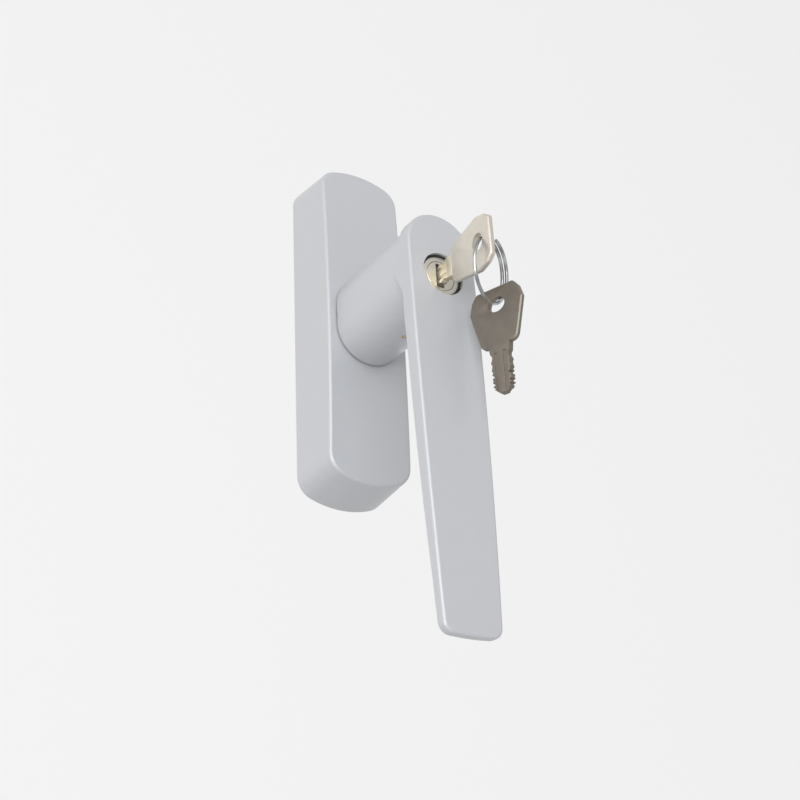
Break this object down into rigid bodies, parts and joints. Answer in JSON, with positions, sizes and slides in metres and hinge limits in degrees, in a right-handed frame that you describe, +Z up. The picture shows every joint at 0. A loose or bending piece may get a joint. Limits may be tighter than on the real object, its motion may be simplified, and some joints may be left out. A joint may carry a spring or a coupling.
{
  "type": "locking window handle",
  "caption": "Locking window handle: lever on a deep gear case with racks and drive pins; key lock in the head, bolt, and keys on a split ring.",
  "frame": {"origin": "on the spindle's axis, on the flat back that meets the window's sash", "axes": "+X right as seen from the room, +Y into the window, -Y towards the hand, +Z up"},
  "size_m": [0.0354, 0.1087, 0.1996],
  "materials": {
    "silver_paint": "satin silver powder coat",
    "satin_nickel": "satin nickel plate",
    "key_nickel": "nickel plate",
    "worn_key_nickel": "worn nickel plate",
    "ring_steel": "bright spring steel",
    "zinc_plated_steel": "zinc plate",
    "dark_steel": "sintered and oiled",
    "brass": "plain",
    "dark_nylon": "moulded"
  },
  "bodies": {
    "base": {"gear_case": "silver_paint", "back_plate": "zinc_plated_steel", "back_plate_screws": "zinc_plated_steel", "lock_disc": "zinc_plated_steel", "lock_disc_screws": "zinc_plated_steel", "slip_ring": "dark_nylon", "front_bush": "brass", "rear_bush": "brass"},
    "handle": {"lever_handle": "silver_paint", "spindle": "zinc_plated_steel", "spindle_screw": "dark_steel", "spindle_washer": "zinc_plated_steel", "pinion": "dark_steel", "spindle_cross_pin": "zinc_plated_steel", "detent_ball": "zinc_plated_steel", "detent_spring": "zinc_plated_steel", "lock_cylinder_body": "satin_nickel", "cylinder_catch_pin": "brass", "bolt_spring": "zinc_plated_steel"},
    "left_rack_bar": {"left_rack": "dark_steel", "upper_drive_pin": "zinc_plated_steel"},
    "right_rack_bar": {"right_rack": "dark_steel", "lower_drive_pin": "zinc_plated_steel"},
    "plug": {"lock_plug": "satin_nickel", "wafers": "brass", "wafer_springs": "zinc_plated_steel", "lock_cam": "dark_steel", "cam_screw": "zinc_plated_steel"},
    "bolt": {"locking_bolt": "zinc_plated_steel"},
    "key": {"key_in_lock": "key_nickel"},
    "ring": {"split_ring": "ring_steel"},
    "spare": {"spare_key": "worn_key_nickel"}
  },
  "joints": [
    {"name": "handle_turn", "type": "hinge", "parent": "base", "child": "handle", "pos_m": [0, 0, 0], "axis": [0, 1, 0], "range_deg": [0, 90]},
    {"name": "left_rack_slide", "type": "slide", "parent": "base", "child": "left_rack_bar", "axis": [0, 0, 1], "range_m": [0, 0.01267]},
    {"name": "right_rack_slide", "type": "slide", "parent": "base", "child": "right_rack_bar", "axis": [0, 0, 1], "range_m": [-0.01267, 0]},
    {"name": "key_turn", "type": "hinge", "parent": "handle", "child": "plug", "pos_m": [0, -0.068, -0.0052], "axis": [0, 1, 0], "range_deg": [0, 90]},
    {"name": "bolt_slide", "type": "slide", "parent": "handle", "child": "bolt", "axis": [0, 1, 0], "range_m": [0, 0.0033]},
    {"name": "key_withdraw", "type": "slide", "parent": "plug", "child": "key", "axis": [0, -1, 0], "range_m": [0, 0.02]},
    {"name": "ring_swing", "type": "hinge", "parent": "key", "child": "ring", "pos_m": [0, -0.0913, -0.00365], "axis": [1, 0, 0], "range_deg": [-18, 3]},
    {"name": "spare_key_swing", "type": "hinge", "parent": "ring", "child": "spare", "pos_m": [0.01103, -0.08308, -0.02056], "axis": [0.9511, 0.309, 0], "range_deg": [-20, 6]}
  ],
  "couplings": [
    {"joint": "left_rack_slide", "follows": "handle_turn", "m_per_rad": 0.008},
    {"joint": "right_rack_slide", "follows": "handle_turn", "m_per_rad": -0.008},
    {"joint": "bolt_slide", "follows": "key_turn", "m_per_rad": 0.0020372}
  ]
}
